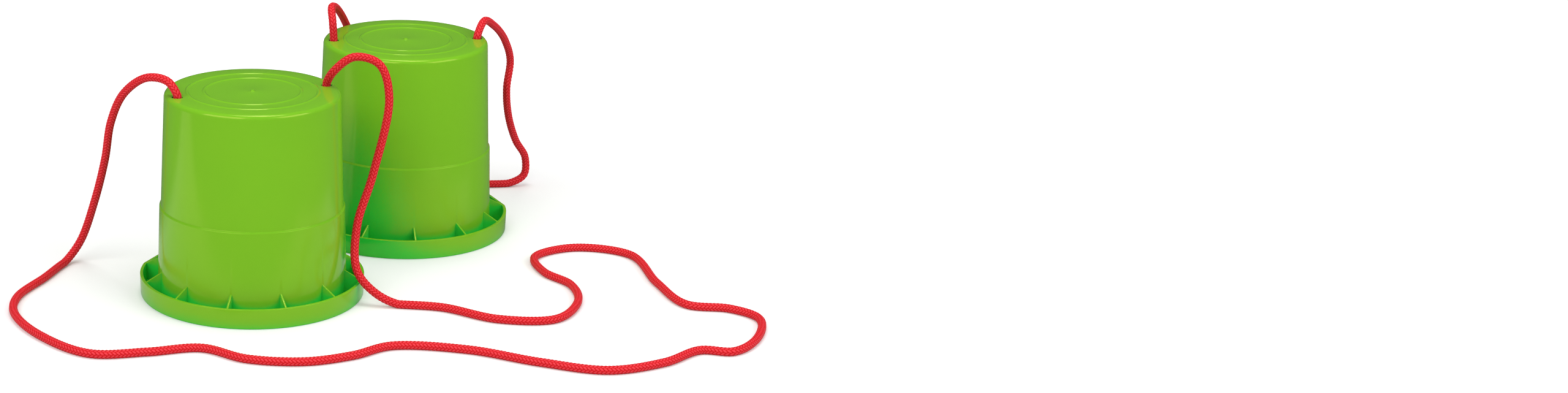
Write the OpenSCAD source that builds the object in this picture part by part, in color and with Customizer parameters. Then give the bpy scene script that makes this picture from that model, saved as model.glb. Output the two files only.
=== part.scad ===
// Pair of step stilts: two upturned cups with a ribbed foot rim, each with a loop of cord knotted
// under its tread. Millimetres, +Z up. The floor is z = 0, +Y points away from the viewer, and the
// origin is on the floor halfway between the two cups.

/* [Body] */
// Height from the floor to the tread
stilt_h = 130; // [110:1:170]
// Outer radius at the floor
base_r = 59.4; // [57:0.1:64]
// Outer radius just below the ledge
ledge_r = 57.9; // [56:0.1:59]
// Outer radius at the shoulder
top_r = 54.5; // [53:0.1:56]
// Height of the ledge round the body
ledge_z = 57; // [40:1:80]
// Width of the ledge
ledge_w = 0.95; // [0.5:0.05:1.2]
// Rise of the ledge across its width
ledge_rise = 0.4; // [0.2:0.1:1]
// Thickness of the body's wall
wall_t = 2; // [1.5:0.1:3]
// Radius of the shoulder round the tread
shoulder_r = 3; // [2:0.5:5]
// Radius inside the cup under the shoulder
inner_fillet = 1; // [0.5:0.1:1.2]

/* [Tread] */
// Thickness of the tread
tread_t = 2.5; // [2:0.1:4]
// Radius of the inner grip ring
inner_ring_r = 30; // [20:0.5:34]
// Radius of the outer grip ring
outer_ring_r = 40.5; // [38:0.5:42]
// Width of a grip ring
ring_w = 2.4; // [1.5:0.1:3.5]
// Height of a grip ring
ring_h = 0.5; // [0.3:0.1:1]
// Radius of the moulding nub at the middle
nub_r = 1.6; // [1:0.1:3]
// Height of the moulding nub
nub_h = 0.9; // [0.4:0.1:1.5]

/* [Foot rim] */
// Outer radius of the rim at the floor
rim_r = 70; // [68:0.5:78]
// How far the rim flares out at its top
rim_flare = 0.35; // [0:0.05:1]
// Height of the rim
rim_h = 12.7; // [9:0.1:16]
// Thickness of the rim's upright wall
skirt_t = 2; // [1.5:0.1:3]
// Thickness of the floor between rim and body
flange_t = 2; // [1.5:0.1:3]
// Number of ribs between rim and body
rib_count = 12; // [8:2:16]
// Thickness of a rib
rib_t = 1.2; // [1:0.1:2]
// Height of a rib at the body
rib_top = 18.4; // [17:0.1:24]

/* [Cord] */
// Diameter of the cord
rope_d = 5; // [4:0.1:6]
// Radius of a cord hole in the tread
hole_r = 3.2; // [3:0.1:4]
// Flat left between a cord hole and the shoulder
hole_land = 0.3; // [0.2:0.1:1]
// Radius of a stopper knot
knot_r = 7.5; // [6.5:0.1:8]
// How far a knot's middle lies inwards of its hole, clear of the wall
knot_inset = 3.7; // [3.2:0.1:6]
// Height of a stopper knot
knot_h = 16; // [11:0.5:18]
// Length of the cord's tail below a knot
tail_l = 12; // [6:1:25]

/* [Coil] */
// Radius of the coil's outermost turn
coil_out_r = 35; // [30:1:40]
// Loops in each of the coil's two layers
layer_loops = 3; // [2:1:4]
// Gap between neighbouring turns
turn_gap = 0.5; // [0.45:0.05:1]
// Distance of the coil's middle behind the rear cup's axis
coil_back = 123.5; // [120:0.5:160]

/* [Pair] */
// Distance between the two cups' axes, left to right
pair_dx = 94; // [90:1:120]
// Distance between the two cups' axes, front to back
pair_dy = 133; // [125:1:160]
// How far the front cup is turned
front_turn = 20.5; // [0:0.5:40]
// How far the rear cup is turned
rear_turn = 7.5; // [0:0.5:40]

/* [Hidden] */
$fn = 96;
// Overrun of cuts, and the depth that a rib sinks into its walls
over = 1;
sink = 0.6;
// The gaps between ribs, counted from the cord holes' line, where the rim runs straight
straight_gaps = [0, 4];
rib_step = 360 / rib_count;
chord_r = rim_r * cos(rib_step / 2);
under_z = stilt_h - tread_t;
hole_pitch = top_r - shoulder_r - hole_land - hole_r;
rope_r = rope_d / 2;
front_at = [-pair_dx / 2, -pair_dy / 2];
rear_at = [pair_dx / 2, pair_dy / 2];
// Steps of the rounded corners
arc_step = 15;
bead_step = 30;
// Sides of the straight-run tubes and of the coil, and rings in a loop of the coil
tube_sides = 8;
coil_sides = 6;
loop_rings = 24;
// Height of the cord's straight exit above the tread
exit_rise = 1;
// A tube that starts steeper than this gets its first normal along X instead of Z
steep = 0.9;
// The nub's flat top, as a share of its radius
nub_top_share = 0.6;
// The knot's flat seat and its rounding, as shares of its radius and height
knot_seat_share = 0.8;
knot_body_share = 0.93;
knot_round_share = 0.15;
stilt_green = [0.49, 0.73, 0.16];
cord_red = [0.86, 0.12, 0.17];

function turned(at, turn, r, z) = [at[0] + r * cos(turn), at[1] + r * sin(turn), z];
front_left = turned(front_at, front_turn + 180, hole_pitch, under_z);
front_right = turned(front_at, front_turn, hole_pitch, under_z);
rear_left = turned(rear_at, rear_turn + 180, hole_pitch, under_z);
rear_right = turned(rear_at, rear_turn, hole_pitch, under_z);
knot_pitch = hole_pitch - knot_inset;
exit_up = [0, 0, tread_t + exit_rise];

coil_at = [rear_at[0], rear_at[1] + coil_back];
turn_step = rope_d + turn_gap;
coil_in_r = coil_out_r - layer_loops * turn_step;
coil_front = coil_at - [0, coil_out_r];
coil_start = [coil_front[0] - rope_d, coil_front[1], rope_r + turn_step];
coil_end = [coil_front[0] + rope_d, coil_front[1], rope_r];

// Routes of the cords over the floor and through the air
front_route = concat([front_left, front_left + exit_up], [
    [-98, -79, 138.5], [-111.5, -71, 138.5], [-127, -59, 125], [-136.5, -48, 103.5],
    [-142, -37, 75], [-150.5, -26, 43], [-160.5, -19, 14.5], [-168, -25, 4],
    [-179, -58, 2.5], [-191, -93, 2.5], [-189, -122, 2.5], [-168, -159, 2.5],
    [-135, -186.5, 2.5], [-102, -182, 2.5], [-71, -174, 2.5], [-43, -190, 2.5],
    [-9, -192.5, 2.5], [18.5, -181.5, 2.5], [42, -164.5, 2.5], [87, -168.5, 2.5],
    [129, -186.5, 2.5], [168, -197, 2.5], [202, -183, 2.5], [225.5, -162, 2.5],
    [244.5, -163.5, 2.5], [260.5, -143.5, 2.5], [267, -106, 2.5], [251, -90.5, 2.5],
    [225.5, -85, 2.5], [210, -46, 2.5], [196, 8.5, 2.5], [162, 19.5, 2.5],
    [134.5, 0.5, 2.5], [139, -30, 2.5], [154.5, -52, 2.5], [157, -84, 2.5],
    [141, -115, 2.5], [106.5, -116.5, 2.5], [72.5, -98, 2.5], [45, -94, 2.5],
    [29.5, -91, 9.5], [19, -86, 21.5], [18.5, -75, 46.5], [28, -65, 78],
    [37, -58, 125.5], [30.5, -55, 145.5], [15, -54, 149.5], [2.5, -53, 140]
], [front_right + exit_up, front_right]);
rear_left_route = concat([rear_left, rear_left + exit_up], [
    [-1.5, 62.5, 142], [-2.5, 71.5, 149], [0.5, 87.5, 145], [7, 111, 127],
    [14, 129, 100], [17, 139, 68], [20, 146, 34], [26, 152, 14]
], [coil_start - [rope_d, 0, 0], coil_start]);
rear_right_route = concat([coil_end, coil_end + [rope_d, 0, 0]], [
    [78, 154.5, 2.5], [108, 153.5, 2.5], [124, 156, 3], [133.5, 160, 8],
    [134, 162, 20], [126.5, 154, 35], [120, 140, 58], [118, 133, 79],
    [120, 137, 97.5], [115.5, 125, 115], [106.5, 100, 132], [99, 83, 139]
], [rear_right + exit_up, rear_right]);

// Unit vector, and one step of a frame that is carried along a line without twist
function unit(v) = v / norm(v);
function carried(n, along) = unit(n - (n * along) * along);
function heading(line, i) = unit(line[min(i + 1, len(line) - 1)] - line[max(i - 1, 0)]);

// One closed tube along a line, with a ring at each of its points
module tube(line, r, sides) {
    count = len(line);
    along = [for (i = [0 : count - 1]) heading(line, i)];
    first = carried(abs(along[0][2]) > steep ? [1, 0, 0] : [0, 0, 1], along[0]);
    normals = [for (i = 0, n = first; i < count; i = i + 1, n = i < count ? carried(n, along[i]) : n) n];
    points = [for (i = [0 : count - 1], k = [0 : sides - 1])
        let (a = 360 * k / sides, across = cross(along[i], normals[i]))
        line[i] + r * (cos(a) * normals[i] + sin(a) * across)];
    walls = [for (i = [0 : count - 2], k = [0 : sides - 1])
        let (a = i * sides + k, b = i * sides + (k + 1) % sides)
        each [[a, a + sides, b], [b, a + sides, b + sides]]];
    start_cap = [for (k = [1 : sides - 2]) [0, k, k + 1]];
    last = (count - 1) * sides;
    end_cap = [for (k = [1 : sides - 2]) [last, last + k + 1, last + k]];
    polyhedron(points = points, faces = concat(walls, start_cap, end_cap));
}

// Middle line of the coil: in along the upper layer, down in the half turn where the spiral
// reverses, and out again along the lower layer
function coil_drop(loop) = min(max(2 * (loop - layer_loops) + 0.5, 0), 1);
function coil_point(loop) =
    let (r = coil_in_r + turn_step * abs(loop - layer_loops), a = 360 * loop - 90)
    [coil_at[0] + r * cos(a), coil_at[1] + r * sin(a), rope_r + turn_step * (1 - coil_drop(loop))];
coil_line = concat([coil_start],
    [for (i = [0 : 2 * layer_loops * loop_rings]) coil_point(i / loop_rings)], [coil_end]);
// Least gap of the coil to itself, between points at least half a loop apart
coil_gap = min([for (i = [0 : len(coil_line) - 1], j = [i + loop_rings / 2 : 1 : len(coil_line) - 1])
    norm(coil_line[i] - coil_line[j]) - rope_d]);
echo(coil_least_gap_mm = coil_gap, coil_turns = 2 * layer_loops);

// Half section of the cup's body and tread, with a wall of one thickness
function corner(at, r, from, to) =
    [for (a = [from : sign(to - from) * arc_step : to]) at + r * [cos(a), sin(a)]];
function bead(r) = [for (a = [0 : bead_step : 180]) [r + ring_w / 2 * cos(a), stilt_h + ring_h * sin(a)]];
nub_section = [[nub_r, stilt_h], [nub_r * nub_top_share, stilt_h + nub_h], [0, stilt_h + nub_h]];
inner_top_r = top_r - wall_t;
body_section = concat(
    [[base_r, 0], [ledge_r, ledge_z], [ledge_r - ledge_w, ledge_z + ledge_rise]],
    corner([top_r - shoulder_r, stilt_h - shoulder_r], shoulder_r, 0, 90),
    bead(outer_ring_r), bead(inner_ring_r), nub_section,
    [[0, under_z]],
    corner([inner_top_r - inner_fillet, under_z - inner_fillet], inner_fillet, 90, 0),
    [[ledge_r - ledge_w - wall_t, ledge_z + ledge_rise - wall_t],
     [ledge_r - wall_t, ledge_z - wall_t], [base_r - wall_t, 0]]);

// Outline of the rim, round apart from its straight runs, drawn in by an inset
module rim_block(low_r, high_r, inset) {
    difference() {
        cylinder(h = rim_h, r1 = low_r, r2 = high_r);
        for (gap = straight_gaps)
            rotate((gap + 1 / 2) * rib_step)
                translate([chord_r - inset, -rim_r, -over])
                    cube([rim_r, 2 * rim_r, rim_h + 2 * over]);
    }
}

// Foot: a flat floor round the body with an upright wall at its edge
module foot_rim() {
    channel_r = rim_r - skirt_t;
    difference() {
        rim_block(rim_r, rim_r + rim_flare, 0);
        translate([0, 0, flange_t])
            rim_block(channel_r, channel_r + rim_flare, skirt_t);
        translate([0, 0, -over])
            cylinder(h = rim_h, r = base_r - wall_t / 2);
    }
}

// Upright rib that rises from the top of the rim to the body
module rib() {
    channel_r = rim_r - skirt_t;
    rib_wall_r = base_r - (base_r - ledge_r) * rib_top / ledge_z;
    rotate([90, 0, 0])
        linear_extrude(height = rib_t, center = true)
            polygon([[base_r - sink, flange_t - sink], [channel_r + sink, flange_t - sink],
                [channel_r + sink, rim_h], [channel_r, rim_h],
                [rib_wall_r, rib_top], [rib_wall_r - sink, rib_top]]);
}

// One cup, standing on its rim, with the cord holes on the turned X axis
module cup(at, turn) {
    color(stilt_green)
        translate([at[0], at[1], 0])
            rotate(turn)
                difference() {
                    union() {
                        rotate_extrude() polygon(body_section);
                        foot_rim();
                        for (i = [0 : rib_count - 1])
                            rotate(i * rib_step) rib();
                    }
                    for (side = [-1, 1])
                        translate([side * hole_pitch, 0, under_z - over])
                            cylinder(h = tread_t + 2 * over, r = hole_r);
                }
}

// Stopper knot pulled up against the tread, with the cord's short tail below it
module knot(at, turn) {
    seat_r = knot_r * knot_seat_share;
    body_r = knot_r * knot_body_share;
    round_h = knot_h * knot_round_share;
    section = [[0, 0], [seat_r, 0], [body_r, -round_h], [knot_r, -knot_h / 2], [body_r, round_h - knot_h],
        [seat_r, -knot_h], [rope_r, -knot_h], [rope_r, -knot_h - tail_l], [0, -knot_h - tail_l]];
    color(cord_red)
        translate(turned(at, turn, knot_pitch, under_z))
            rotate_extrude() polygon(section);
}

module front_cup() cup(front_at, front_turn);
module rear_cup() cup(rear_at, rear_turn);
module front_rope() color(cord_red) tube(front_route, rope_r, tube_sides);
module rear_rope_left() color(cord_red) tube(rear_left_route, rope_r, tube_sides);
module rear_rope_coil() color(cord_red) tube(coil_line, rope_r, coil_sides);
module rear_rope_right() color(cord_red) tube(rear_right_route, rope_r, tube_sides);
module front_knot_left() knot(front_at, front_turn + 180);
module front_knot_right() knot(front_at, front_turn);
module rear_knot_left() knot(rear_at, rear_turn + 180);
module rear_knot_right() knot(rear_at, rear_turn);

front_cup();
rear_cup();
front_rope();
rear_rope_left();
rear_rope_coil();
rear_rope_right();
front_knot_left();
front_knot_right();
rear_knot_left();
rear_knot_right();
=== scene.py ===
# A pair of step stilts: two upturned plastic cups with a ribbed foot rim, each with a braided cord
import math
import bpy
import numpy as np
from mathutils import Matrix, Vector


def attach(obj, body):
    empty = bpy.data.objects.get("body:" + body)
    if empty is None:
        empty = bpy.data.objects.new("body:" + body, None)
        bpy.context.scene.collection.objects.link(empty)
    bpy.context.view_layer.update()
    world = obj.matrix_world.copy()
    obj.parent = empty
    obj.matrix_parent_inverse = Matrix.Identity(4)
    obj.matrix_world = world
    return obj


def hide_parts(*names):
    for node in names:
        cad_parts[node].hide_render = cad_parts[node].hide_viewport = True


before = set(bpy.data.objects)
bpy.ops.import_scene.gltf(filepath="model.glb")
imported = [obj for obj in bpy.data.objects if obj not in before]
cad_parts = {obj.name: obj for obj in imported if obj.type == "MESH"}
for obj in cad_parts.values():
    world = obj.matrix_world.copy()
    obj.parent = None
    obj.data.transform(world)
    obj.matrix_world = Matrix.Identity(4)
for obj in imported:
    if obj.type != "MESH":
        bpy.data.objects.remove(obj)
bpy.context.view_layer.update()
mm = 0.001  # sizes are written in millimetres, apart from those whose note says metres

# Camera, as the photograph was taken
camera = {
    "picture": (2560, 641),  # pixels
    "middle": (640, 320.5),  # pixel that the lens looks at
    "focal": 4253.6,  # pixels
    "place": (39.9, -1608.7, 568),
    "pitch": 18.11,  # degrees down
    "roll": 1.1,  # degrees
    "sensor": 36,
    "clip": (0.05, 100),  # metres
}


def makeCamera(c):
    width, height = c["picture"]
    lens = bpy.data.cameras.new("camera")
    lens.sensor_width = c["sensor"]
    lens.lens = c["focal"] / width * c["sensor"]
    lens.shift_x = (width / 2 - c["middle"][0]) / width
    lens.shift_y = (c["middle"][1] - height / 2) / width
    lens.clip_start, lens.clip_end = c["clip"]
    eye = bpy.data.objects.new("camera", lens)
    bpy.context.scene.collection.objects.link(eye)
    stand = Matrix.Translation(Vector(c["place"]) * mm)
    tilt = Matrix.Rotation(math.radians(90 - c["pitch"]), 4, "X")
    eye.matrix_world = stand @ tilt @ Matrix.Rotation(math.radians(c["roll"]), 4, "Z")
    bpy.context.scene.camera = eye


makeCamera(camera)
print("camera made")

# Cords: they follow the same routes as the solids, and the coil is worked out from its sizes
cord = {
    "radius": 2.5,
    "sides": 40,  # points round the cord
    "ringStep": 0.61,  # from one ring of points to the next
    "parts": 24,  # steps from one point of a route to the next
    "strands": 8,  # round the cord, each way
    "passes": 2,  # strands that each one goes over, and then under
    "crossing": 2.3,  # length of one crossing along the cord
    "lobe": 0.42,  # how far a strand stands out
    "arch": 0.5,  # share of that which rises and falls along the strand
    "sunk": 0.55,  # share of it that lies inside the cord's radius
    "floorGap": 0.02,  # no point of the mesh is lower
}
floorZ = cord["radius"]  # the cord's middle, where it lies on the floor
frontRoute = [
    (-91.96, -83.31, 127.5), (-91.96, -83.31, 131), (-98, -79, 138.5), (-111.5, -71, 138.5), (-127, -59, 125),
    (-136.5, -48, 103.5), (-142, -37, 75), (-150.5, -26, 43), (-160.5, -19, 14.5), (-168, -25, 4),
    (-179, -58, 2.5), (-191, -93, 2.5), (-189, -122, 2.5), (-168, -159, 2.5), (-135, -186.5, 2.5),
    (-102, -182, 2.5), (-71, -174, 2.5), (-43, -190, 2.5), (-9, -192.5, 2.5), (18.5, -181.5, 2.5),
    (42, -164.5, 2.5), (87, -168.5, 2.5), (129, -186.5, 2.5), (168, -197, 2.5), (202, -183, 2.5),
    (225.5, -162, 2.5), (244.5, -163.5, 2.5), (260.5, -143.5, 2.5), (267, -106, 2.5), (251, -90.5, 2.5),
    (225.5, -85, 2.5), (210, -46, 2.5), (196, 8.5, 2.5), (162, 19.5, 2.5), (134.5, 0.5, 2.5),
    (139, -30, 2.5), (154.5, -52, 2.5), (157, -84, 2.5), (141, -115, 2.5), (106.5, -116.5, 2.5),
    (72.5, -98, 2.5), (45, -94, 2.5), (29.5, -91, 9.5), (19, -86, 21.5), (18.5, -75, 46.5),
    (28, -65, 78), (37, -58, 125.5), (30.5, -55, 145.5), (15, -54, 149.5), (2.5, -53, 140),
    (-2.04, -49.69, 131), (-2.04, -49.69, 127.5),
]
rearLeftRoute = [
    (-0.59, 60.23, 127.5), (-0.59, 60.23, 131), (-1.5, 62.5, 142), (-2.5, 71.5, 149), (0.5, 87.5, 145),
    (7, 111, 127), (14, 129, 100), (17, 139, 68), (20, 146, 34), (26, 152, 14), (37, 155, 8), (42, 155, 8),
]
rearRightRoute = [
    (52, 155, 2.5), (57, 155, 2.5), (78, 154.5, 2.5), (108, 153.5, 2.5), (124, 156, 3), (133.5, 160, 8),
    (134, 162, 20), (126.5, 154, 35), (120, 140, 58), (118, 133, 79), (120, 137, 97.5), (115.5, 125, 115),
    (106.5, 100, 132), (99, 83, 139), (94.59, 72.77, 131), (94.59, 72.77, 127.5),
]
coil = {
    "middle": (47, 190),
    "outer": 35,  # radius of the outermost turn
    "loops": 3,  # turns in each of the two layers
    "step": 5.5,  # from one turn or layer to the next
    "dropOver": 0.5,  # part of a turn in which the cord goes down a layer
    "perLoop": 48,  # points
}


def smoothLine(points, parts):
    # an even curve through the points, that doesn't swing out where they are unevenly spaced
    before = 2 * Vector(points[0]) - Vector(points[1])
    after = 2 * Vector(points[-1]) - Vector(points[-2])
    knots = [before, *map(Vector, points), after]
    line = []
    for a, b, c, d in zip(knots, knots[1:], knots[2:], knots[3:]):
        t1 = math.sqrt((b - a).length)
        t2 = t1 + math.sqrt((c - b).length)
        t3 = t2 + math.sqrt((d - c).length)
        for i in range(parts):
            t = t1 + (t2 - t1) * i / parts
            ab = a.lerp(b, t / t1)
            bc = b.lerp(c, (t - t1) / (t2 - t1))
            cd = c.lerp(d, (t - t2) / (t3 - t2))
            line.append(ab.lerp(bc, t / t2).lerp(bc.lerp(cd, (t - t1) / (t3 - t1)), (t - t1) / (t2 - t1)))
    return line + [knots[-2]]


def coilLine(c):
    # in along the upper layer, down where the spiral reverses, out along the lower one
    line = []
    for i in range(2 * c["loops"] * c["perLoop"] + 1):
        loop = i / c["perLoop"]
        r = c["outer"] - c["step"] * (c["loops"] - abs(loop - c["loops"]))
        drop = min(max((loop - c["loops"]) / c["dropOver"] + 0.5, 0), 1)
        a = 2 * math.pi * loop - math.pi / 2
        x, y = c["middle"]
        line.append(Vector((x + r * math.cos(a), y + r * math.sin(a), floorZ + c["step"] * (1 - drop))))
    return line


def evenRings(line, step):
    # places a step apart along the line, none of them under the floor, and how far along each is
    points = np.array([tuple(p) for p in line])
    points[:, 2] = np.maximum(points[:, 2], floorZ)
    along = np.concatenate([[0], np.cumsum(np.linalg.norm(np.diff(points, axis=0), axis=1))])
    places = np.linspace(0, along[-1], math.ceil(along[-1] / step) + 1)
    return np.stack([np.interp(places, along, points[:, k]) for k in range(3)], 1), places


def braidHeight(turn, along, c):
    # how far the braid stands out from the cord's radius
    passes = c["passes"]
    a = turn * c["strands"] + along / c["crossing"]
    b = turn * c["strands"] - along / c["crossing"]
    phase = (np.floor(a) + np.floor(b)) % (2 * passes)
    over = phase < passes
    across = np.where(over, b, a) % 1
    run = np.where(over, phase + a % 1, phase - passes + b % 1) / passes
    rise = 1 - c["arch"] + c["arch"] * np.sin(np.pi * run)
    return c["lobe"] * (np.sqrt(np.sin(np.pi * across)) * rise - c["sunk"])


def braidedTube(name, line, c, body):
    rings, along = evenRings(line, c["ringStep"])
    heading = np.gradient(rings, axis=0)
    heading /= np.linalg.norm(heading, axis=1)[:, None]
    steep = abs(heading[0][2]) > 0.9  # it starts nearly upright, and takes a level normal
    carried = np.array([1.0, 0, 0]) if steep else np.array([0, 0, 1.0])
    normals = np.zeros_like(rings)
    for i, way in enumerate(heading):  # the first normal is carried along without a twist
        carried = carried - carried.dot(way) * way
        carried /= np.linalg.norm(carried)
        normals[i] = carried
    across = np.cross(heading, normals)
    turn = np.arange(c["sides"]) / c["sides"]
    angle = 2 * np.pi * turn[None, :, None]
    height = c["radius"] + braidHeight(turn[None, :], along[:, None], c)
    spread = np.cos(angle) * normals[:, None, :] + np.sin(angle) * across[:, None, :]
    points = rings[:, None, :] + height[:, :, None] * spread
    points[:, :, 2] = np.maximum(points[:, :, 2], c["floorGap"])
    count, sides = len(rings), c["sides"]
    i, k = np.meshgrid(np.arange(count - 1), np.arange(sides), indexing="ij")
    nextK = (k + 1) % sides
    faces = np.stack([i * sides + k, (i + 1) * sides + k, (i + 1) * sides + nextK, i * sides + nextK], -1)
    u = np.stack([k, k, k + 1, k + 1], -1) / sides
    v = np.stack([along[i], along[i + 1], along[i + 1], along[i]], -1) / c["crossing"]
    faceList = faces.reshape(-1, 4).tolist()
    uvList = np.stack([u, v], -1).reshape(-1, 2).tolist()
    for ring, order in ((0, range(sides)), (count - 1, range(sides - 1, -1, -1))):  # the two ends
        faceList.append([ring * sides + j for j in order])
        uvList += [[0.5, along[ring] / c["crossing"]]] * sides
    mesh = bpy.data.meshes.new(name)
    mesh.from_pydata((points.reshape(-1, 3) * mm).tolist(), [], faceList)
    layer = mesh.uv_layers.new(name="braid")
    layer.data.foreach_set("uv", np.array(uvList, dtype=np.float32).ravel())
    mesh.shade_smooth()
    tube = bpy.data.objects.new(name, mesh)
    bpy.context.scene.collection.objects.link(tube)
    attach(tube, body)
    return tube, [tuple(p * mm) for p in rings], along[-1] * mm


frontLine = smoothLine(frontRoute, cord["parts"])
rearLine = smoothLine(rearLeftRoute, cord["parts"]) + coilLine(coil)
rearLine += smoothLine(rearRightRoute, cord["parts"])
frontCord, frontPath, frontLength = braidedTube("front_cord", frontLine, cord, "front_stilt")
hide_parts("front_rope")
rearCord, rearPath, rearLength = braidedTube("rear_cord", rearLine, cord, "rear_stilt")
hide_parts("rear_rope_left", "rear_rope_coil", "rear_rope_right")
print("cords made", round(frontLength, 3), round(rearLength, 3))

# Cup: one moulding, spun from its section about its own axis, with the cord holes along X
cup = {
    "height": 130, "wall": 2, "tread": 2.5,
    "baseRadius": 59.4, "ledgeRadius": 57.9, "topRadius": 54.5,  # outside
    "ledgeZ": 57, "ledge": 0.95, "ledgeRise": 0.9, "ledgeRound": 0.6,  # the wall steps in above the ledge
    "shoulder": 3, "innerRound": 1, "innerLedgeRound": 0.5,
    "rings": (40.5, 30), "ringWidth": 2.4, "ringHeight": 0.5, "ringFlat": 0.3,  # share that the crest takes
    "nubRadius": 1.6, "nubHeight": 0.9, "nubTaper": 0.6, "nubRounds": (0.3, 0.2),  # round at its foot and top
    "rimRadius": 70, "rimFlare": 0.35, "rimHeight": 12.7, "edgeRound": 0.35,
    "skirt": 2, "flange": 2,  # thickness of the rim's wall and of its floor
    "ribs": 12, "ribWidth": 1.2, "ribRound": 0.25,
    "ribTop": 18.4,  # where a rib meets the cup's wall
    "ribSink": 0.6, "ribLower": 0.05,  # into the rim's floor, and under the rim's edge
    "straight": (0, 4),  # gaps between ribs in which the rim runs straight
    "hole": 3.2, "holePlace": 48, "holeRound": 0.4,  # radius, distance from the axis, and rounded mouth
    "past": 1,  # how far a cutter and a search go beyond a face
    "steps": 240, "holeSteps": 64, "cornerSteps": 4, "smoothAngle": 38,
}
pair = {"front": ((-47, -66.5), 20.5), "rear": ((47, 66.5), 7.5)}  # place and turn in degrees
mergeGap = 0.002  # points of a spun shape that are closer become one


def rounded(outline, steps):
    # each corner of the outline has its own radius, and nought keeps it sharp
    line = []
    count = len(outline)
    for i, (x, z, r) in enumerate(outline):
        here = Vector((x, z))
        if r == 0 or i in (0, count - 1):
            line.append(here)
            continue
        back = (Vector(outline[i - 1][:2]) - here).normalized()
        ahead = (Vector(outline[i + 1][:2]) - here).normalized()
        half = back.angle(ahead) / 2
        reach = r / math.tan(half)
        centre = here + (back + ahead).normalized() * r / math.sin(half)
        start, end = here + back * reach - centre, here + ahead * reach - centre
        line += [centre + start.slerp(end, j / steps).normalized() * r for j in range(steps + 1)]
    return line


def cupSection(c):
    # the outside from the floor to the axis, and the inside from the axis to the floor
    top, under, edge = c["height"], c["height"] - c["tread"], c["edgeRound"]
    inside, channel = c["baseRadius"] - c["wall"], c["rimRadius"] - c["skirt"]
    foot = c["baseRadius"] - (c["baseRadius"] - c["ledgeRadius"]) * c["flange"] / c["ledgeZ"]
    stepped, ledgeTop = c["ledgeRadius"] - c["ledge"], c["ledgeZ"] + c["ledgeRise"]
    outline = [
        (inside, 0, 0), (c["rimRadius"], 0, edge * 2), (c["rimRadius"] + c["rimFlare"], c["rimHeight"], edge),
        (channel + c["rimFlare"], c["rimHeight"], edge), (channel, c["flange"], edge * 2),
        (foot, c["flange"], edge * 2), (c["ledgeRadius"], c["ledgeZ"], c["ledgeRound"]),
        (stepped, ledgeTop, c["ledgeRound"]), (c["topRadius"], top, c["shoulder"]),
    ]
    half, crest = c["ringWidth"] / 2, top + c["ringHeight"]
    flat = half * c["ringFlat"]
    for ring in c["rings"]:
        outline += [(ring + half, top, half), (ring + flat, crest, half)]
        outline += [(ring - flat, crest, half), (ring - half, top, half)]
    footRound, topRound = c["nubRounds"]
    outline += [
        (c["nubRadius"], top, footRound), (c["nubRadius"] * c["nubTaper"], top + c["nubHeight"], topRound),
        (0, top + c["nubHeight"], 0),
    ]
    inner = [
        (0, under, 0), (c["topRadius"] - c["wall"], under, c["innerRound"]),
        (stepped - c["wall"], ledgeTop - c["wall"], c["innerLedgeRound"]),
        (c["ledgeRadius"] - c["wall"], c["ledgeZ"] - c["wall"], c["innerLedgeRound"]), (inside, 0, 0),
    ]
    return rounded(outline, c["cornerSteps"]), rounded(inner, c["cornerSteps"])


def select(obj):
    bpy.ops.object.select_all(action="DESELECT")
    obj.select_set(True)
    bpy.context.view_layer.objects.active = obj


def faceOut(part):
    select(part)
    bpy.ops.object.mode_set(mode="EDIT")
    bpy.ops.mesh.select_all(action="SELECT")
    bpy.ops.mesh.normals_make_consistent(inside=False)
    bpy.ops.object.mode_set(mode="OBJECT")


def spinLine(name, line, steps):
    # one vertex is drawn out along the section, and the section is spun round the axis
    bpy.ops.object.select_all(action="DESELECT")
    bpy.ops.mesh.primitive_plane_add(size=mm)
    part = bpy.context.object
    part.name = name
    bpy.ops.object.mode_set(mode="EDIT")
    bpy.ops.mesh.merge(type="CENTER")
    bpy.ops.transform.translate(value=(line[0].x * mm, 0, line[0].y * mm))
    for here, ahead in zip(line, line[1:]):
        step = ahead - here
        bpy.ops.mesh.extrude_region_move(TRANSFORM_OT_translate={"value": (step.x * mm, 0, step.y * mm)})
    bpy.ops.mesh.select_all(action="SELECT")
    bpy.ops.mesh.spin(steps=steps, angle=2 * math.pi, center=(0, 0, 0), axis=(0, 0, 1))
    bpy.ops.mesh.select_all(action="SELECT")
    bpy.ops.mesh.remove_doubles(threshold=mergeGap * mm)
    bpy.ops.object.mode_set(mode="OBJECT")
    return part


def straightenRim(part, c):
    # the rim runs straight from rib to rib in two of its gaps
    gap = 2 * math.pi / c["ribs"]
    inner = (c["baseRadius"] + c["rimRadius"] - c["skirt"]) / 2 * mm
    for vertex in part.data.vertices:
        x, y, z = vertex.co
        if math.hypot(x, y) < inner or z > (c["rimHeight"] + c["past"]) * mm:
            continue
        turn = math.atan2(y, x) % (2 * math.pi)
        for which in c["straight"]:
            off = turn - (which + 0.5) * gap
            if abs(off) < gap / 2:
                pull = math.cos(gap / 2) / math.cos(off)
                vertex.co = (x * pull, y * pull, z)


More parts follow.
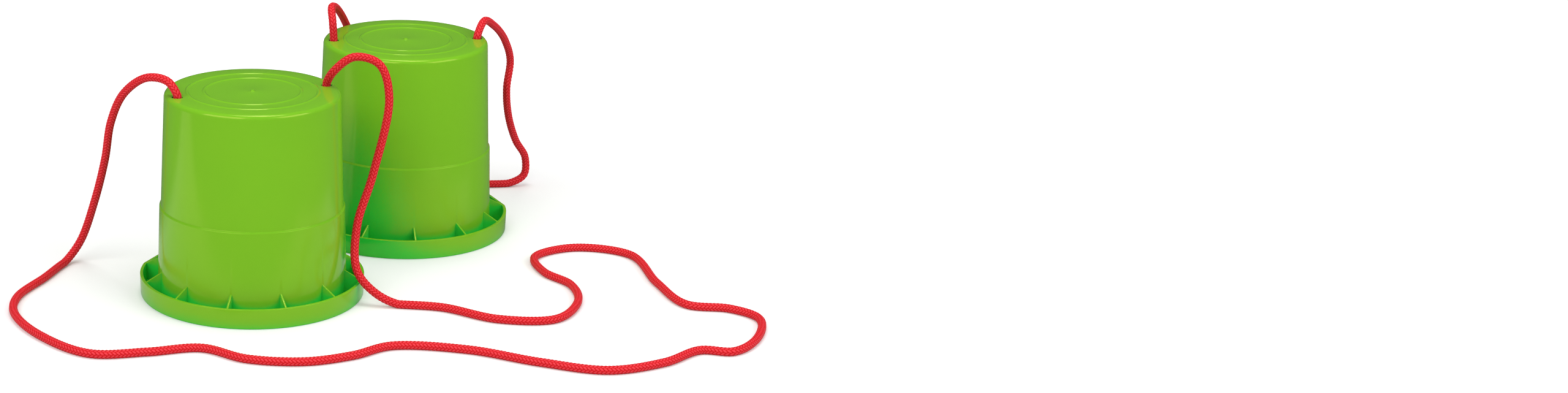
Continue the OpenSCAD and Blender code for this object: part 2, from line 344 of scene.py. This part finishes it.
def addRibs(c):
    # a block is drawn to the rib's outline, rounded, and copied round the axis
    low, wall = c["flange"] - c["ribSink"], c["baseRadius"] - c["wall"] / 2
    outer = c["rimRadius"] - c["skirt"] / 2
    middle = ((wall + outer) / 2 * mm, 0, (low + c["rimHeight"]) / 2 * mm)
    size = ((outer - wall) * mm, c["ribWidth"] * mm, (c["rimHeight"] - low) * mm)
    bpy.ops.object.select_all(action="DESELECT")
    bpy.ops.mesh.primitive_cube_add(size=1, location=middle, scale=size)
    rib = bpy.context.object
    bpy.ops.object.transform_apply(location=True, rotation=True, scale=True)
    for vertex in rib.data.vertices:
        if vertex.co.z > c["rimHeight"] / 2 * mm:
            inward = vertex.co.x < middle[0]
            vertex.co.z = (c["ribTop"] if inward else c["rimHeight"] - c["ribLower"]) * mm
    select(rib)
    bpy.ops.object.mode_set(mode="EDIT")
    bpy.ops.mesh.select_all(action="SELECT")
    bpy.ops.mesh.bevel(offset=c["ribRound"] * mm, segments=2, affect="EDGES")
    bpy.ops.object.mode_set(mode="OBJECT")
    ribs = [rib]
    for i in range(1, c["ribs"]):
        copy = rib.copy()
        copy.data = rib.data.copy()
        copy.data.transform(Matrix.Rotation(2 * math.pi * i / c["ribs"], 4, "Z"))
        bpy.context.scene.collection.objects.link(copy)
        ribs.append(copy)
    select(rib)
    for copy in ribs:
        copy.select_set(True)
    bpy.ops.object.join()
    return rib


def addCutters(c):
    # both cord holes, each with a rounded mouth above and below
    top, under, r, lip = c["height"], c["height"] - c["tread"], c["hole"], c["holeRound"]
    arc = [math.radians(a) for a in range(0, 91, 15)]  # a quarter turn
    section = [Vector((0, under - c["past"])), Vector((r + lip, under - c["past"]))]
    section += [Vector((r + lip - lip * math.sin(a), under + lip - lip * math.cos(a))) for a in arc]
    section += [Vector((r + lip - lip * math.cos(a), top - lip + lip * math.sin(a))) for a in arc]
    section += [Vector((r + lip, top + c["past"])), Vector((0, top + c["past"]))]
    cutters = []
    for side in (-1, 1):
        cutter = spinLine("cutter", section, c["holeSteps"])
        cutter.data.transform(Matrix.Translation((side * c["holePlace"] * mm, 0, 0)))
        cutters.append(cutter)
    select(cutters[0])
    cutters[1].select_set(True)
    bpy.ops.object.join()
    faceOut(cutters[0])
    return cutters[0]


def combine(part, other, how):
    modifier = part.modifiers.new(how, "BOOLEAN")
    modifier.operation = how
    modifier.object = other
    modifier.solver = "EXACT"
    select(part)
    bpy.ops.object.modifier_apply(modifier=modifier.name)
    bpy.data.objects.remove(other)


def makeCup(c):
    outer, inner = cupSection(c)
    part = spinLine("cup", outer + inner, c["steps"])
    straightenRim(part, c)
    faceOut(part)
    combine(part, addRibs(c), "UNION")
    combine(part, addCutters(c), "DIFFERENCE")
    select(part)
    bpy.ops.object.shade_smooth_by_angle(angle=math.radians(c["smoothAngle"]))
    return part


def placeCup(part, name, place, body, node):
    (x, y), turn = place
    copy = bpy.data.objects.new(name, part.data.copy())
    copy.data.transform(Matrix.Translation((x * mm, y * mm, 0)) @ Matrix.Rotation(math.radians(turn), 4, "Z"))
    bpy.context.scene.collection.objects.link(copy)
    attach(copy, body)
    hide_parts(node)
    return copy


cupPart = makeCup(cup)
frontShell = placeCup(cupPart, "front_shell", pair["front"], "front_stilt", "front_cup")
rearShell = placeCup(cupPart, "rear_shell", pair["rear"], "rear_stilt", "rear_cup")
bpy.data.objects.remove(cupPart)
print("cups made", len(frontShell.data.polygons))

# Knots: an overhand knot below each hole, drawn up against the tread, and the cord's cut tail
knot = {
    "middle": 44.3,  # from the cup's axis
    "below": 8.2,  # the knot's middle under the tread
    "parts": 12,  # steps from one point to the next
    "entry": [(3.7, 0, 8.2), (3.4, 0, 6.9), (1.6, 0.2, 5)],
    "half": [
        (-1, 0, 3), (-2.5, -1.5, 0.5), (-2, -4, -1.5), (0, -5, -4), (3, -4, -5.5),
        (5, -1.5, -5.5), (5, 2, -5), (4, 4, -3), (1.5, 4.5, -1),
    ],
    "tail": [(0, 0.5, -6), (0.2, 0.6, -9.5), (0.8, 0.2, -13.5), (0.6, -0.8, -17), (0, -1.5, -19.8)],
}


def makeKnot(k, c, place, side, name, body, node):
    # the second half of the knot is the first one turned over
    route = k["entry"] + k["half"] + [(-x, y, -z) for x, y, z in reversed(k["half"])] + k["tail"]
    (x, y), turn = place
    under = cup["height"] - cup["tread"] - k["below"]
    turned = Matrix.Rotation(math.radians(turn + side), 4, "Z")
    move = Matrix.Translation((x, y, under)) @ turned @ Matrix.Translation((k["middle"], 0, 0))
    tie, _, _ = braidedTube(name, [move @ p for p in smoothLine(route, k["parts"])], c, body)
    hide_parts(node)
    return tie


frontTies = [
    makeKnot(knot, cord, pair["front"], 180, "front_tie_left", "front_stilt", "front_knot_left"),
    makeKnot(knot, cord, pair["front"], 0, "front_tie_right", "front_stilt", "front_knot_right"),
]
rearTies = [
    makeKnot(knot, cord, pair["rear"], 180, "rear_tie_left", "rear_stilt", "rear_knot_left"),
    makeKnot(knot, cord, pair["rear"], 0, "rear_tie_right", "rear_stilt", "rear_knot_right"),
]
print("knots made")

# Materials
plastic = {
    "colour": (0.19, 0.482, 0.018), "deep": (0.168, 0.457, 0.018),  # lime, in soft clouds
    "cloudSize": 55, "cloudDetail": 3,
    "paintedShade": (0.025, 0.585, 0.055),  # painted shade: emerald, put by ambient occlusion in tight gaps and inside the cups
    "paintedShadeFrom": 0.33, "paintedShadeTo": 0.48,  # how open a place is, from 0 to 1: the painted-shade emerald, and lime again
    "paintedShadeReach": 160, "paintedShadeSamples": 16,
    "smooth": 0.09, "dull": 0.17, "patches": 3,  # roughness, in patches this many times smaller than a cloud
    "specular": 0.65, "glossTint": (1, 0.72, 0.24),
    "glow": 0.12, "glowColours": (0.6, 1, 0.3), "glowDepth": 2,  # light that spreads inside the plastic
    "waveSize": 45, "wave": 0.02, "grainSize": 0.9, "grain": 0.004,
}
yarn = {
    # gap: painted shade in the hollows between strands; the lightest colour: a painted highlight on their
    # crowns
    "gap": (0.3, 0.002, 0.004), "lobe": (0.69, 0.007, 0.012), "paintedHighlight": (0.76, 0.045, 0.06),
    "levels": (0.15, 0.5, 0.9),  # heights in the braid at which these three colours stand: painted shade, the cord's red, painted highlight
    "fibres": 9, "fibreDepth": 0.6,  # fibres across a strand, and how much they show
    "roughness": 0.5, "specular": 0.12, "sheen": 0.015, "sheenTint": (1, 0.3, 0.35),
    "bump": 0.25, "bumpStrength": 0.6,
}


def addNode(tree, kind, settings=None, inputs=None):
    made = tree.nodes.new(kind)
    for key, value in (settings or {}).items():
        setattr(made, key, value)
    for key, value in (inputs or {}).items():
        if isinstance(value, bpy.types.NodeSocket):
            tree.links.new(value, made.inputs[key])
        else:
            made.inputs[key].default_value = value
    return made


def setInputs(shader, values):
    for key, value in values.items():
        shader.inputs[key].default_value = value


def work(tree, how, *values):
    return addNode(tree, "ShaderNodeMath", {"operation": how}, dict(enumerate(values))).outputs[0]


def softStep(tree, value, start, end, low=0, high=1):
    # low before start, high past end, and a soft rise between them
    return addNode(tree, "ShaderNodeMapRange", {"interpolation_type": "SMOOTHSTEP"}, {
        "Value": value, "From Min": start, "From Max": end, "To Min": low, "To Max": high,
    }).outputs["Result"]


def noise(tree, where, size, detail=2):
    # size is the pattern's own, in millimetres
    return addNode(tree, "ShaderNodeTexNoise", None, {
        "Vector": where, "Scale": 1 / (size * mm), "Detail": detail,
    }).outputs["Fac"]


def newMaterial(name):
    material = bpy.data.materials.new(name)
    material.use_nodes = True
    return material, material.node_tree, material.node_tree.nodes["Principled BSDF"]


def plasticMaterial(p):
    material, tree, shader = newMaterial("green_plastic")
    where = addNode(tree, "ShaderNodeTexCoord").outputs["Object"]
    cloud = noise(tree, where, p["cloudSize"], p["cloudDetail"])
    lime = addNode(tree, "ShaderNodeMix", {"data_type": "RGBA"}, {
        "Factor": cloud, "A": (*p["deep"], 1), "B": (*p["colour"], 1),
    }).outputs["Result"]
    # painted shade: where ambient occlusion finds a place closed in, in gaps, inside the cups and at the
    # rims' lower edges, the colour turns emerald
    openness = addNode(tree, "ShaderNodeAmbientOcclusion", {"samples": p["paintedShadeSamples"]}, {
        "Distance": p["paintedShadeReach"] * mm,
    }).outputs["AO"]
    clear = softStep(tree, openness, p["paintedShadeFrom"], p["paintedShadeTo"])
    shade = addNode(tree, "ShaderNodeMix", {"data_type": "RGBA"}, {
        "Factor": clear, "A": (*p["paintedShade"], 1), "B": lime,
    }).outputs["Result"]
    tree.links.new(shade, shader.inputs["Base Color"])
    patch = noise(tree, where, p["cloudSize"] / p["patches"])
    rough = work(tree, "MULTIPLY_ADD", patch, p["dull"] - p["smooth"], p["smooth"])
    tree.links.new(rough, shader.inputs["Roughness"])
    setInputs(shader, {
        "Specular IOR Level": p["specular"], "Specular Tint": (*p["glossTint"], 1),
        "Subsurface Weight": p["glow"], "Subsurface Radius": p["glowColours"],
        "Subsurface Scale": p["glowDepth"] * mm,
    })
    wave = addNode(tree, "ShaderNodeBump", None, {
        "Height": noise(tree, where, p["waveSize"]), "Distance": p["wave"] * mm,
    })
    grain = addNode(tree, "ShaderNodeBump", None, {
        "Height": noise(tree, where, p["grainSize"]), "Distance": p["grain"] * mm,
        "Normal": wave.outputs["Normal"],
    })
    tree.links.new(grain.outputs["Normal"], shader.inputs["Normal"])
    return material


def cordMaterial(p, c):
    # the colour follows the same braid as the mesh, worked out from its UV map
    material, tree, shader = newMaterial("red_cord")
    uv = addNode(tree, "ShaderNodeUVMap", {"uv_map": "braid"}).outputs["UV"]
    split = addNode(tree, "ShaderNodeSeparateXYZ", None, {0: uv})
    around = work(tree, "MULTIPLY", split.outputs["X"], c["strands"])
    a = work(tree, "ADD", around, split.outputs["Y"])
    b = work(tree, "SUBTRACT", around, split.outputs["Y"])
    fa, fb = work(tree, "FRACT", a), work(tree, "FRACT", b)
    cell = work(tree, "ADD", work(tree, "FLOOR", a), work(tree, "FLOOR", b))
    phase = work(tree, "FLOORED_MODULO", cell, 2 * c["passes"])
    under = work(tree, "GREATER_THAN", phase, c["passes"] - 0.5)
    across = work(tree, "MULTIPLY_ADD", under, work(tree, "SUBTRACT", fa, fb), fb)
    along = work(tree, "MULTIPLY_ADD", under, work(tree, "SUBTRACT", fb, fa), fa)
    start = work(tree, "MULTIPLY_ADD", under, -c["passes"], phase)
    run = work(tree, "MULTIPLY", work(tree, "ADD", start, along), 1 / c["passes"])
    crown = work(tree, "SQRT", work(tree, "SINE", work(tree, "MULTIPLY", across, math.pi)))
    arch = work(tree, "SINE", work(tree, "MULTIPLY", run, math.pi))
    height = work(tree, "MULTIPLY", crown, work(tree, "MULTIPLY_ADD", arch, c["arch"], 1 - c["arch"]))
    fibreAt = addNode(tree, "ShaderNodeCombineXYZ", None, {
        "X": work(tree, "MULTIPLY", across, p["fibres"]), "Y": run, "Z": cell,
    }).outputs[0]
    fibre = noise(tree, fibreAt, 1 / mm)  # one unit of the braid's own map
    level = work(tree, "MULTIPLY_ADD", work(tree, "SUBTRACT", fibre, 0.5), p["fibreDepth"], height)
    # the braid's height picks the colour: painted shade low in the gaps, the cord's red on the strands, a
    # painted highlight on the crowns
    ramp = addNode(tree, "ShaderNodeValToRGB", None, {"Fac": level})
    stops = ramp.color_ramp.elements
    stops[0].position, stops[0].color = p["levels"][0], (*p["gap"], 1)
    stops[1].position, stops[1].color = p["levels"][1], (*p["lobe"], 1)
    stops.new(p["levels"][2]).color = (*p["paintedHighlight"], 1)
    tree.links.new(ramp.outputs["Color"], shader.inputs["Base Color"])
    setInputs(shader, {
        "Roughness": p["roughness"], "Specular IOR Level": p["specular"],
        "Sheen Weight": p["sheen"], "Sheen Tint": (*p["sheenTint"], 1),
    })
    bump = addNode(tree, "ShaderNodeBump", None, {
        "Height": level, "Strength": p["bumpStrength"], "Distance": p["bump"] * mm,
    })
    tree.links.new(bump.outputs["Normal"], shader.inputs["Normal"])
    return material


def dress(part, material):
    part.data.materials.clear()
    part.data.materials.append(material)


green = plasticMaterial(plastic)
red = cordMaterial(yarn, cord)
dress(frontShell, green)
dress(rearShell, green)
for tube in (frontCord, rearCord, *frontTies, *rearTies):
    dress(tube, red)
print("materials made")

# Studio: a white floor in a soft room, lit by three softboxes
studio = {
    "floorSize": 12, "floorSides": 96,  # radius in metres
    "floorColour": 0.8, "floorRoughness": 0.9,
    "lift": (0.12, 0.4),  # what the eye sees on top of the floor's own light, by the object and far off: the lower lift by the object is painted shade round it, the higher one far off evens the floor to white
    "liftReach": (220, 600),
    "paperMiddle": (-885, -122.5), "paperHalf": (1215, 162.5),  # part of the floor that gloss shows bright
    "paperSoft": 45,  # half the width of its soft border
    "dim": 0.15,  # strength of the dim room that gloss shows past the paper
    "paperDim": 0.45,  # share of the dim room that gloss shows on the paper
    "roomFill": 0.55, "roomMirrored": 0.07,  # strength of the room as a light, and in gloss
    "aim": (0, 0, 0.05),  # metres
    "boxes": {  # place and size in metres, and power in watts
        "left": ((-1.3, -1.65, 1.85), (2.4, 1.4), 35),
        "right": ((1.7, -0.95, 1.5), (1.7, 1.1), 20),
        "top": ((0.1, 0.1, 1.6), (0.9, 0.5), 8.5),
    },
}


def raySwitch(tree, seen, mirrored, other):
    # one value for what the eye sees, one for what gloss shows and one for the light itself
    path = addNode(tree, "ShaderNodeLightPath")
    eye = work(tree, "MAXIMUM", path.outputs["Is Camera Ray"], path.outputs["Is Transmission Ray"])
    gloss = work(tree, "MULTIPLY_ADD", path.outputs["Is Glossy Ray"], mirrored - other, other)
    rest = work(tree, "MULTIPLY", work(tree, "SUBTRACT", 1, eye), gloss)
    return work(tree, "ADD", work(tree, "MULTIPLY", eye, seen), rest)


def makeFloor(s):
    bpy.ops.object.select_all(action="DESELECT")
    bpy.ops.mesh.primitive_circle_add(vertices=s["floorSides"], radius=s["floorSize"], fill_type="NGON")
    floor = bpy.context.object
    floor.name = "floor"
    material, tree, shader = newMaterial("floor")
    setInputs(shader, {
        "Base Color": (s["floorColour"], s["floorColour"], s["floorColour"], 1),
        "Roughness": s["floorRoughness"], "Specular IOR Level": 0, "Emission Color": (1, 1, 1, 1),
    })
    where = addNode(tree, "ShaderNodeTexCoord").outputs["Object"]
    away = addNode(tree, "ShaderNodeVectorMath", {"operation": "LENGTH"}, {0: where}).outputs["Value"]
    near, far = s["liftReach"]
    # painted shade: the floor is lifted less near the object, so it shows darker round it than far off
    lift = softStep(tree, away, near * mm, far * mm, *s["lift"])
    lifted = work(tree, "MULTIPLY", raySwitch(tree, 1, 1, 0), lift)
    tree.links.new(lifted, shader.inputs["Emission Strength"])
    split = addNode(tree, "ShaderNodeSeparateXYZ", None, {0: where})
    outside = []
    for axis, middle, half in zip("XY", s["paperMiddle"], s["paperHalf"]):
        off = work(tree, "ABSOLUTE", work(tree, "SUBTRACT", split.outputs[axis], middle * mm))
        outside.append(softStep(tree, off, (half - s["paperSoft"]) * mm, (half + s["paperSoft"]) * mm))
    past = work(tree, "MAXIMUM", *outside)
    dull = work(tree, "MULTIPLY_ADD", past, 1 - s["paperDim"], s["paperDim"])
    gloss = addNode(tree, "ShaderNodeLightPath").outputs["Is Glossy Ray"]
    room = addNode(tree, "ShaderNodeEmission", None, {"Strength": s["dim"]})
    mix = addNode(tree, "ShaderNodeMixShader", None, {
        0: work(tree, "MULTIPLY", dull, gloss), 1: shader.outputs[0], 2: room.outputs[0],
    })
    tree.links.new(mix.outputs[0], tree.nodes["Material Output"].inputs["Surface"])
    dress(floor, material)


def makeRoom(s):
    world = bpy.data.worlds.new("room")
    bpy.context.scene.world = world
    world.use_nodes = True
    tree = world.node_tree
    sky = tree.nodes["Background"]
    sky.inputs["Color"].default_value = (1, 1, 1, 1)
    tree.links.new(raySwitch(tree, 1, s["roomMirrored"], s["roomFill"]), sky.inputs["Strength"])


def addSoftbox(name, place, size, power, aim):
    lamp = bpy.data.lights.new(name, "AREA")
    lamp.shape = "RECTANGLE"
    lamp.size, lamp.size_y = size
    lamp.energy = power
    holder = bpy.data.objects.new(name, lamp)
    bpy.context.scene.collection.objects.link(holder)
    facing = (Vector(aim) - Vector(place)).to_track_quat("-Z", "Y")
    holder.matrix_world = Matrix.Translation(Vector(place)) @ facing.to_matrix().to_4x4()


makeFloor(studio)
makeRoom(studio)
for boxName, (boxPlace, boxSize, boxPower) in studio["boxes"].items():
    addSoftbox(boxName, boxPlace, boxSize, boxPower, studio["aim"])
bpy.context.scene.view_settings.view_transform = "Standard"
print("studio made")
